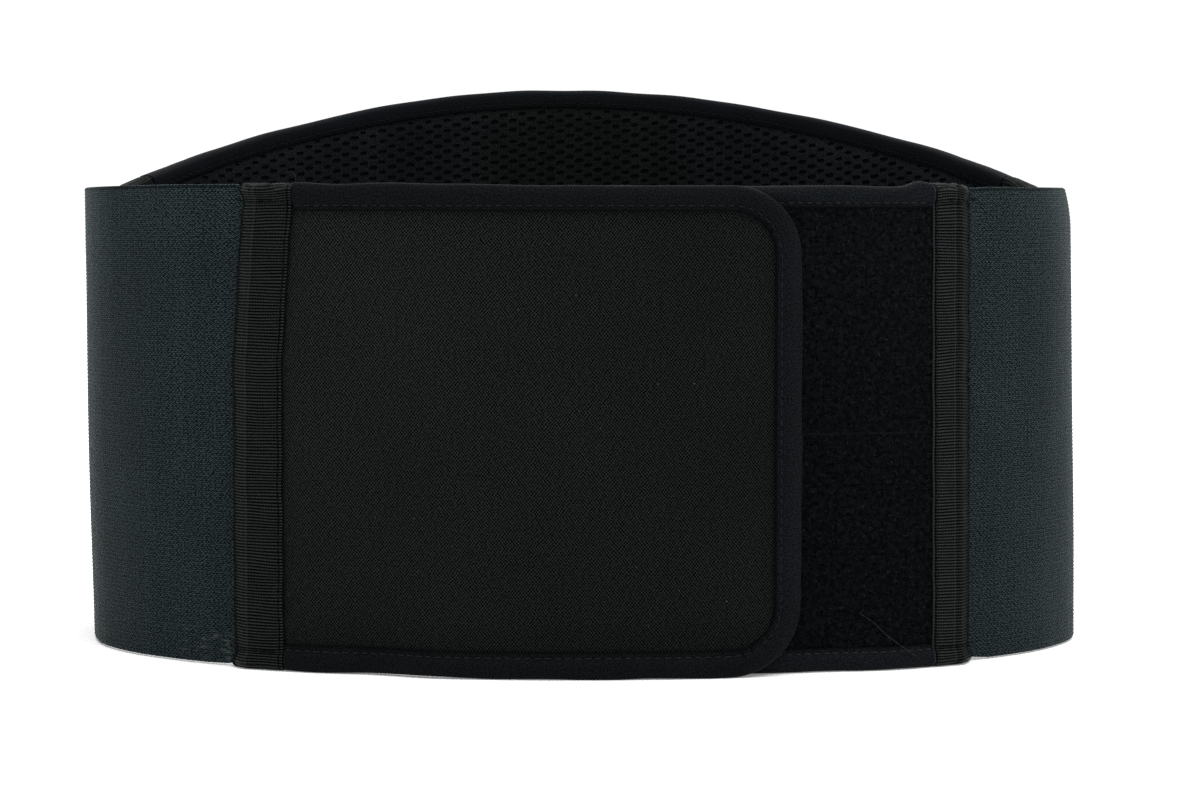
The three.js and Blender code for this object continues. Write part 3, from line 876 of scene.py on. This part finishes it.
def edge_puckers(from_edge, along, up, seed):
    """Small puckers of a padded panel along its bound edge."""
    return PUCKER * bump(from_edge, 10.5, 2.5) * ripple(along, up, 7, seed)


def add_flap():
    seam = SEAMS["front_left"]
    along, up, from_rim, from_sewn = front_grid(seam, FLAP_END, 1.6)
    inner_face = flap_face(along)
    from_edge = np.minimum(from_rim, from_sewn)
    puckers = edge_puckers(from_edge, along, up, 5)
    drape = FLAP_DRAPE * smoothstep(from_edge, 14, 40) * ripple(along, up, 60, 9)
    groove = FLAP_GROOVE * bump(from_edge, 7.4, 1.8)
    outer = inner_face + swell(FLAP, from_edge) + puckers + drape - groove
    piece = add_layer("front_flap_cloth", along, up, outer, inner_face, "canvas", "front_flap")


def add_under_panel():
    seam = SEAMS["front_right"]
    along, up, _, _ = front_grid(seam, UNDER_END, 3)
    inner = under_face(along)
    outer = inner + UNDER_PANEL
    piece = add_layer("under_panel_cloth", along, up, outer, inner, "canvas", "under_panel")


# The back: padded panel, and the net of its lining.
def add_back_panel():
    first = sewn_end(SEAMS["rear_right"], 0)
    last = sewn_end(SEAMS["rear_left"], 0) + GIRTH
    along = np.linspace(first, last, 120)
    level = np.linspace(0, 1, 72)[:, None]
    top = upper_edge(along) - EDGE_INSET
    up = lerp(EDGE_INSET, top, level)
    from_end = np.minimum(along - LINING_START, LINING_END - along) + SWELL_FROM
    from_edge = np.minimum(np.minimum(up - EDGE_INSET, top - up), from_end)
    puckers = edge_puckers(from_edge, along, up, 15)
    drape = BACK_DRAPE * smoothstep(from_edge, 14, 40) * (ripple(along, up, 55, 19, 3) - 1)
    outer = ON_ELASTIC + swell(BACK, from_edge) + puckers + drape
    piece = add_layer("back_panel_cloth", along, up, outer, ON_ELASTIC, "canvas", "back_panel")


def lining_face(along, up):
    """Outward place of the lining's inner face, with the soft upright waves of the spacer mesh."""
    top = upper_edge(along) - EDGE_INSET
    from_edge = np.minimum(up - EDGE_INSET, top - up)
    waves = LINING_WAVE * smoothstep(from_edge, 10, 24) * ripple(along, up, 42, 23, 6)
    return ON_ELASTIC - GAP - swell(LINING, from_edge + 6.5) + waves


def levelled(along, up):
    """Heights on the belt of places on the net's lattice, which is skewed along the belt."""
    return up - NET_SKEW * (along - LINING_MIDDLE)


def net_cells():
    """The middles of the net's cells, on its lattice."""
    columns = int((LINING_END - LINING_START - 2 * NET_MARGIN) / NET_COLUMN)
    column = np.arange(columns + 1)[:, None]
    row = np.arange(-6, 57)
    along = LINING_MIDDLE + (column - columns / 2) * NET_COLUMN + 0 * row
    rim_foot = EDGE_INSET + NET_RIM
    up = rim_foot + row * NET_PITCH + column % 2 * NET_PITCH / 2
    level = levelled(along, up)
    keep = (level > rim_foot) & (level < upper_edge(along) - rim_foot)
    return flat(along[keep], up[keep])


def net_triangles(corners, spots):
    """The triangles between the corners of each cell and the spots round its hole."""
    corner, spot = 0, 0
    triangles = []
    for step in NET_STEPS:
        outer_now = corners[:, corner % corners.shape[1]]
        inner_now = spots[:, spot % HOLE_SIDES]
        corner, spot = corner + (step == "c"), spot + (step == "h")
        ahead = corners[:, corner % corners.shape[1]] if step == "c" else spots[:, spot % HOLE_SIDES]
        triangles.append(np.stack([outer_now, ahead, inner_now], -1))
    return np.concatenate(triangles)


def border_walls(triangles, count):
    """Walls from the open edges of a face to its copy, whose points come that many later."""
    edges = np.concatenate([triangles[:, pair] for pair in ([0, 1], [1, 2], [2, 0])]).astype(np.int64)
    key = edges[:, 0] * count + edges[:, 1]
    back_key = edges[:, 1] * count + edges[:, 0]
    first, last = edges[~np.isin(key, back_key)].T
    return np.stack([last + count, first + count, first, last], -1)


def add_net():
    """The face of the spacer mesh as a closed net with an oval hole in every cell."""
    centres = net_cells()
    cells = len(centres)
    skew = NET_PITCH**2 / (8 * NET_COLUMN)
    near, far = NET_COLUMN / 2 - skew, NET_COLUMN / 2 + skew
    half = NET_PITCH / 2
    hexagon = np.array([(far, 0), (near, half), (-near, half), (-far, 0), (-near, -half), (near, -half)])
    turn = (np.arange(HOLE_SIDES) + 0.5) * 2 * math.pi / HOLE_SIDES
    round_off = flat(np.cos(turn), np.sin(turn))
    rim = np.sign(round_off) * np.abs(round_off) ** 0.75 * np.array(NET_HOLE) / 2
    corners = (centres[:, None] + hexagon).reshape(-1, 2)
    shared, where = np.unique(np.round(corners, 3), axis=0, return_inverse=True)
    level = levelled(*centres.T)
    from_edge = np.minimum(level, upper_edge(centres[:, 0]) - level) - EDGE_INSET - BACK_LEG_INSIDE
    dice = np.random.default_rng(29)
    size = lerp(0.12, 1, smoothstep(from_edge, 0.4, 2.6)) * dice.uniform(0.86, 1.1, cells)
    moved = dice.normal(0, 0.1, (cells, 1, 2))
    rims = (centres[:, None] + moved + rim * size[:, None, None]).reshape(-1, 2)
    along, up = np.concatenate([shared, rims]).T
    up = levelled(along, up)
    spots = len(shared) + np.arange(len(rims)).reshape(cells, HOLE_SIDES)
    triangles = net_triangles(where.reshape(cells, len(hexagon)), spots)
    count = len(along)
    faces = np.concatenate([triangles[:, ::-1], triangles + count]).tolist()
    faces += border_walls(triangles, count).tolist()
    outward = lining_face(along, up)
    sunk = np.repeat([0, NET_DIMPLE], [len(shared), len(rims)])
    points = wrap(np.concatenate([flat(along, up, outward + sunk), flat(along, up, outward + NET_DEPTH)]))
    maps = np.tile(flat(along, up), (2, 1))
    look = slot = "spacer_mesh"
    return add_piece("back_lining_net", points, faces, maps, look, "back_lining", NET_SHARP_ANGLE)


def add_ground(along):
    """The felt behind the net."""
    up = lerp(EDGE_INSET, upper_edge(along) - EDGE_INSET, np.linspace(0, 1, 36)[:, None])
    outer = ON_ELASTIC - GAP
    inner = np.minimum(lining_face(along, up) + NET_DEPTH + GROUND_GAP, outer - 0.1)
    return add_layer("back_lining_ground", along, up, outer, inner, "mesh_ground")


def add_lining():
    along = np.linspace(LINING_START, LINING_END, 90)
    for piece in (add_net(), add_ground(along)):
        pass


# Bindings.
def front_edge(seam, free_end):
    """The edge of a front panel, from its seam round its free end and back, with the panel on the right."""
    side = seam["side"]
    corner_start = free_end - side * CORNER
    turn = np.linspace(0, math.pi / 2, 40)

    def half_edge(edge, level):
        start = tape_edge(seam, edge) + side * GAP
        straight = np.linspace(start, corner_start, 200)[:-1]
        bend = corner_start + side * CORNER * np.sin(turn)
        drop = edge - level * CORNER * (1 - np.cos(turn))
        return flat(np.concatenate([straight, bend]), np.concatenate([np.full(len(straight), edge), drop]))

    upper = half_edge(FRONT_HEIGHT - EDGE_INSET, 1)
    lower = half_edge(EDGE_INSET, -1)
    pair = (upper, lower[::-1]) if side > 0 else (lower, upper[::-1])
    return np.concatenate(pair)


# A binding's leg from its fold to its cut edge: the distance in from the fold, and how it puffs up there.
BINDING_PROFILE = [(0, 0.3), (0.8, 0.85), (1.7, 1.2), (2.6, 1.25), (3.5, 0.95), (4.2, 0.4), (4.8, -0.3)]
BINDING_PROFILE += [(5.2, -0.75), (5.6, -0.5), (6.1, -0.4), (6.8, -1.2)]


def binding_section(thickness, legs, inner_puff):
    """The middle line of a binding's cloth: x out past the panel's edge, y outward from the inner face."""
    outer = thickness + GAP + BINDING / 2
    inner = -GAP - BINDING / 2
    inward, puff = np.array(BINDING_PROFILE).T
    turn = np.linspace(0, math.pi, 10)[1:-1]
    crown = (EDGE_INSET - BINDING / 2) * np.sin(turn) ** 0.75
    x = np.concatenate([-inward[::-1] * legs[0] / BINDING_LEG, crown, -inward * legs[1] / BINDING_LEG])
    fold = lerp(inner, outer, (1 + np.cos(turn)) / 2)
    y = np.concatenate([outer + BINDING_PUFF * puff[::-1], fold, inner - inner_puff * puff])
    return x, y


def left_of(path):
    """Unit vectors to the left of a path: out of the panel's edge."""
    ahead = unit(np.gradient(path, axis=0))
    return flat(-ahead[:, 1], ahead[:, 0])


def add_binding(name, look, edge, spacing, seed, legs, inner_puff=0, rise=None):
    """A binding folded over an edge: its path, the panel's thickness there, and the panel's inner face."""
    path, thickness, inner_face = edge
    path, length = resampled(path, spacing)
    out = left_of(path)
    x, y = binding_section(thickness, legs, inner_puff)
    outer_leg = (y > thickness / 2)[:, None]
    wander = BINDING_WANDER * ripple(length, 0, 30, seed)
    curl = np.abs(np.gradient(np.unwrap(np.arctan2(out[:, 1], out[:, 0])), length)) * CORNER
    inner_half = np.clip(-x / BINDING_LEG, 0, 1)[:, None]
    gathers = BINDING_GATHER * curl * inner_half * outer_leg * np.sin(length * 2 * math.pi / GATHER_PITCH)
    dimples = BINDING_DIMPLE * bump(-x, BINDING_STITCH * legs[0] / BINDING_LEG, 0.8)[:, None]
    dimples = dimples * np.cos(length * 2 * math.pi / STITCH_PITCH) * outer_leg
    uneven = BINDING_UNEVEN * outer_leg * ripple(length, x[:, None], 9, seed + 3)
    reach = x[:, None] + wander * (x > -2)[:, None]
    along = path[:, 0] + reach * out[:, 0]
    up = path[:, 1] + reach * out[:, 1]
    if rise is not None:
        up = up + rise(along, up) * smoothstep(x, -6, 0)[:, None]
    outward = inner_face(along) + y[:, None] + gathers + dimples + uneven
    middle = flat(along, up, outward)
    normal = facing(middle)
    across = lengths(x, y)
    from_edge = np.minimum(across, across[-1] - across)
    pattern = flat(length, from_edge[:, None])
    half = BINDING / 2
    outer, inner = middle + normal * half, middle - normal * half
    piece = two_faced(name + "_cloth", outer, inner, look, name, pattern)


def back_edge(upper):
    """A long edge of the back, with the panel on the right."""
    along = np.linspace(LINING_START - BACK_BINDING_END, LINING_END + BACK_BINDING_END, 400)
    return flat(along, upper_edge(along) - EDGE_INSET) if upper else flat(along, EDGE_INSET)[::-1]


# Sewing thread. The rings of a stitch: the place along it, its fatness and its lift.
STITCH_RINGS = [(-0.5, 0.35, -0.2), (-0.32, 0.9, 0), (0, 1, 0.06), (0.32, 0.9, 0), (0.5, 0.35, -0.2)]
STITCH_SIDES = 5


def stitch_row(path, seed):
    """Starts and ends of the stitches along a flat-pattern path."""
    even, length = resampled(path, 0.25)
    dice = np.random.default_rng(seed)
    count = int(length[-1] / STITCH_PITCH)
    begin = (np.arange(count) + 0.15) * STITCH_PITCH + dice.uniform(-0.12, 0.12, count)
    return points_at(even, length, begin), points_at(even, length, begin + STITCH_LENGTH)


def add_stitches(name, rows, thread):
    """Rows of stitches, each a short round bar that sinks at both ends."""
    pairs = [stitch_row(row, seed) for seed, row in enumerate(rows)]
    starts, ends = (np.concatenate(side) for side in zip(*pairs))
    first, last = wrap(starts), wrap(ends)
    outside = unit(wrap(starts + np.array([0, 0, 1])) - first)[:, None]
    span = (last - first)[:, None]
    share, fat, lift = np.array(STITCH_RINGS).T[..., None]
    lines = ((first + last) / 2)[:, None] + span * share + outside * lift / 1000
    radius = STITCH_RADIUS / 1000 * fat[..., None]
    across = np.cross(unit(span), outside)
    points, faces = tubes(lines, across, radius, STITCH_SIDES, -outside, True)
    twist = 0.3 * np.repeat(np.arange(len(STITCH_RINGS)), STITCH_SIDES)[:, None]
    pattern = (starts + ends)[:, None, :2] / 2 + twist
    add_piece(name, points, faces, pattern, thread)


def binding_stitches(edge, inside=False, leg=BINDING_LEG):
    """A row near the cut edge of a binding, on its outside or its inside."""
    path, thickness, inner_face = edge
    path, _ = resampled(path, 1.2)
    line = path - left_of(path) * BINDING_STITCH * leg / BINDING_LEG
    face = -GAP - BINDING - 0.02 if inside else thickness + GAP + BINDING - 0.2
    return np.column_stack([line, inner_face(line[:, 0]) + face])


def tape_stitches(seam, panel_edge):
    """Two rows up the tape near its edges, and one across it near each end."""
    rows = []
    half = seam["width"] / 2 - seam["groove"]
    height = np.linspace(4, FRONT_HEIGHT - 4, 60)
    face = ON_ELASTIC + TAPE - 0.1
    for across in (-half, half):
        lift = tape_lift(seam, panel_edge, across * seam["side"])
        along = seam_line(seam, height) + across
        rows.append(np.column_stack([along, to_edge(along, height), np.full(60, face + lift)]))
    for level in (6.2, FRONT_HEIGHT - 5.2):
        toward_panel = np.linspace(-half - 4.5, half + 0.6, 60)
        along = seam_line(seam, level) + toward_panel * seam["side"]
        on_tape = face + 0.35 + tape_lift(seam, panel_edge, toward_panel)
        outward = np.where(toward_panel < -half - 1.5, ELASTIC / 2, on_tape)
        rows.append(np.column_stack([along, to_edge(along, level), outward]))
    return rows


# Loop fastener.
def tufts(along, up, seed):
    """The uneven height of a strip's pile."""
    return PILE_UNEVEN * ripple(along, up, PILE_CLUMP, seed)


def add_strip(name, foot, top, seed):
    """A strip of loop fastener, with its pile."""
    seam = SEAMS["front_right"]
    start = UNDER_END + CORNER
    share = np.concatenate([np.linspace(0, 0.58, 12)[:-1], np.linspace(0.58, 1, 55)])
    up = np.linspace(foot, top, round((top - foot) / 0.9))[:, None]
    along = lerp(start, tape_edge(seam, up) + UNDER_TAPE, share)
    inner_face = under_face(along) + STRIP_REST
    edge = np.minimum(up - foot, top - up)
    outer_face = inner_face + LOOP_STRIP - 0.15 + 0.1 * smoothstep(edge, 0, 0.7) + tufts(along, up, seed)
    piece = add_layer(name + "_ground", along, up, outer_face, inner_face, "loop_pile", name)
    pile = add_pile(name + "_pile", foot, top, seed)


def add_pile(name, foot, top, seed):
    """Small leaning loops of yarn, in clumps, over the part of a strip that the flap leaves bare."""
    dice = np.random.default_rng(seed)
    seam = SEAMS["front_right"]
    shown_from = FLAP_END - 8
    scattered = int((tape_edge(seam, foot) - shown_from) * (top - foot) * 2)
    up = dice.uniform(foot, top, scattered)
    along = lerp(shown_from, tape_edge(seam, up) - STRIP_GAP, dice.uniform(0, 1, scattered))
    clumped = ripple(along, up, PILE_CLUMP, seed) + dice.normal(0, 0.8, scattered) > 0
    shown = clumped & (np.abs(up - SHOWN_JOIN) > 0.35)
    along, up = along[shown], up[shown]
    count = len(up)
    ground = pile_face(along) - 0.2 + tufts(along, up, seed)
    heading = dice.uniform(0, 2 * math.pi, count)
    wide = dice.uniform(0.35, 0.65, count)
    tall = dice.uniform(0.3, 0.8, count)
    lean = dice.normal(0, 0.3, (count, 2))
    arc = np.linspace(0, math.pi, 4)
    offset = np.cos(arc) * wide[:, None]
    rise = np.sin(arc) * tall[:, None]
    lines = flat(
        along[:, None] + offset * np.cos(heading)[:, None] + lean[:, :1] * rise,
        up[:, None] + offset * np.sin(heading)[:, None] + lean[:, 1:] * rise,
        ground[:, None] + rise,
    )
    beside = flat(-np.sin(heading), np.cos(heading), 0)[:, None, :]
    points, faces = tubes(lines, beside, YARN_RADIUS, YARN_SIDES)
    pattern = np.repeat(flat(along, up), len(arc) * YARN_SIDES, axis=0)
    return add_piece(name, wrap(points), faces, pattern, "loop_yarn")


# Loose ends of thread on the pile and at the top of the left tape: along, up, and height over the panel.
LOOSE_THREADS = {
    "pile": [(88.6, 18.3, 0.3), (92.8, 15.2, 0.75), (97.1, 10.9, 0.85), (101.3, 7.7, 1.6), (105.8, 4.4, 2)],
    "tape": [
        (-86.4, 150.8, 1.2),
        (-86.2, 152.6, 1.1),
        (-86.9, 154, 0.8),
        (-88.2, 154.7, 0.6),
        (-89.5, 154.5, 0.5),
    ],
}


def add_loose_thread(name, points, rest):
    """A loose end of thread over the face that it rests on."""
    path, _ = resampled(np.array(points, float), 0.7)
    path[1:-1] = (path[:-2] + 2 * path[1:-1] + path[2:]) / 4
    line = path + np.outer(rest(path[:, 0]), (0, 0, 1))
    ahead = line[-1, :2] - line[0, :2]
    beside = np.array([-ahead[1], ahead[0], 0]) / np.hypot(*ahead)
    spots, faces = tubes(line[None], beside, LOOSE_RADIUS, LOOSE_SIDES)
    pattern = np.repeat(path[:, :2], LOOSE_SIDES, axis=0)
    add_piece(name, wrap(spots), faces, pattern, "loose_thread")


# How far the front bindings lie above or below their edges.
def flap_rise(along, up):
    """The lower run hangs a little higher beside the left tape; the upper one falls to the free end."""
    lower = 0.7 * bump(along, -50, 16)
    upper = 0.5 * bump(along, -85, 8) - 0.6 * smoothstep(along, -42, -18)
    return np.where(up < FRONT_HEIGHT / 2, lower, upper)


def under_rise(along, up):
    """The upper run lies a little low, and is pushed up beside the right tape."""
    return (1.4 * bump(along, 108, 4) - 0.65) * (up > FRONT_HEIGHT / 2)


# The assembly.
add_elastic("elastic_left", SEAMS["rear_left"], SEAMS["front_left"], 31)
add_elastic("elastic_right", SEAMS["front_right"], SEAMS["rear_right"], 37)

# Each tape: the thickness of the panel that it covers, the columns across its middle, and its brightness,
# which paints the light and shade that fall on it.
TAPES = {
    "front_left": (FLAP[0], 8, 0.79),
    "front_right": (UNDER_THICK, 6, 0.94),
    "rear_left": (BACK[0], 2, 0.5),
    "rear_right": (BACK[0], 2, 0.65),
}
for seed, (place, (panel_edge, fill, brightness)) in enumerate(TAPES.items(), 41):
    name, seam, front = "tape_" + place, SEAMS[place], place.startswith("front")
    LOOKS[name] = webbing_look(name, seam, brightness, front)
    add_tape(name, seam, panel_edge, seed, fill, front)
    add_stitches(name + "_stitches", tape_stitches(seam, panel_edge), "tape_thread")

add_flap()
add_under_panel()
add_back_panel()
add_lining()

flap_edge = (front_edge(SEAMS["front_left"], FLAP_END), FLAP[0], flap_face)
under_edge = (front_edge(SEAMS["front_right"], UNDER_END), UNDER_THICK, under_face)
back_upper = (back_edge(True), BACK_THICK, lining_edge)
back_lower = (back_edge(False), BACK_THICK, lining_edge)
add_binding("flap_binding", "flap_binding", flap_edge, 1.2, 51, FLAP_LEGS, rise=flap_rise)
add_binding("under_binding", "under_binding", under_edge, 1.5, 55, UNDER_LEGS, rise=under_rise)
add_binding("back_binding_upper", "back_binding", back_upper, 1.6, 61, BACK_LEGS, BACK_INNER_PUFF)
add_binding("back_binding_lower", "back_binding", back_lower, 2, 67, BACK_LEGS, BACK_INNER_PUFF)
add_stitches("flap_stitches", [binding_stitches(flap_edge)], "binding_thread")
add_stitches("under_stitches", [binding_stitches(under_edge, leg=UNDER_LEG)], "under_thread")
back_rows = []
for edge in (back_upper, back_lower):
    back_rows += [binding_stitches(edge), binding_stitches(edge, True, BACK_LEG_INSIDE)]
add_stitches("back_stitches", back_rows, "back_thread")

strip_edges = [EDGE_INSET, *STRIP_JOINS, FRONT_HEIGHT - EDGE_INSET]
for number, (foot, top) in enumerate(zip(strip_edges, strip_edges[1:]), 1):
    add_strip(f"loop_strip_{number}", foot + STRIP_GAP, top - STRIP_GAP, 70 + number)

add_loose_thread("pile_thread", LOOSE_THREADS["pile"], pile_face)
add_loose_thread("tape_thread_end", LOOSE_THREADS["tape"], flap_face)

hook_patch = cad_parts["hook_patch"]
hook_patch.data.materials.clear()
hook_patch.data.materials.append(LOOKS["hook_nylon"])
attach(hook_patch, "root")

# Studio: a white floor, a white surround that is dimmer in front of the belt, and a broad soft light above.
FLOOR_SIZE = 12
SURROUND = (0.3, 1.05)
KEY_ENERGY = 3
KEY_SPREAD = 60
KEY_TURN = (20, 0, 35)
CAMERA_PLACE = (0.006347, -1.00464, 0.1488)
CAMERA_TURN = (90 - 3.998, 0, 0)
CAMERA_LENS = 89.915

bpy.ops.mesh.primitive_plane_add(size=FLOOR_SIZE)
floor = bpy.context.object
floor.name = "floor"
floor.data.materials.append(LOOKS["floor"])

scene = bpy.context.scene
scene.world = bpy.data.worlds.new("surround")
scene.world.use_nodes = True
sky = Nodes(scene.world.node_tree)
heading = sky.node("ShaderNodeTexCoord").outputs["Generated"]
behind = sky.node("ShaderNodeSeparateXYZ", Vector=heading).outputs["Y"]
background = sky.tree.nodes["Background"]
sky.plug(background.inputs["Strength"], sky.step(behind, -0.9, 0.3, *SURROUND))
sky.plug(background.inputs["Color"], (1, 1, 1))

key = bpy.data.lights.new("key", "SUN")
key.energy = KEY_ENERGY
key.angle = math.radians(KEY_SPREAD)
add_object("key", key).rotation_euler = [math.radians(turn) for turn in KEY_TURN]

camera = bpy.data.cameras.new("camera")
camera.lens = CAMERA_LENS
camera.sensor_width = 36
scene.camera = add_object("camera", camera)
scene.camera.location = CAMERA_PLACE
scene.camera.rotation_euler = [math.radians(turn) for turn in CAMERA_TURN]
scene.view_settings.view_transform = "Standard"
scene.cycles.use_denoising = False
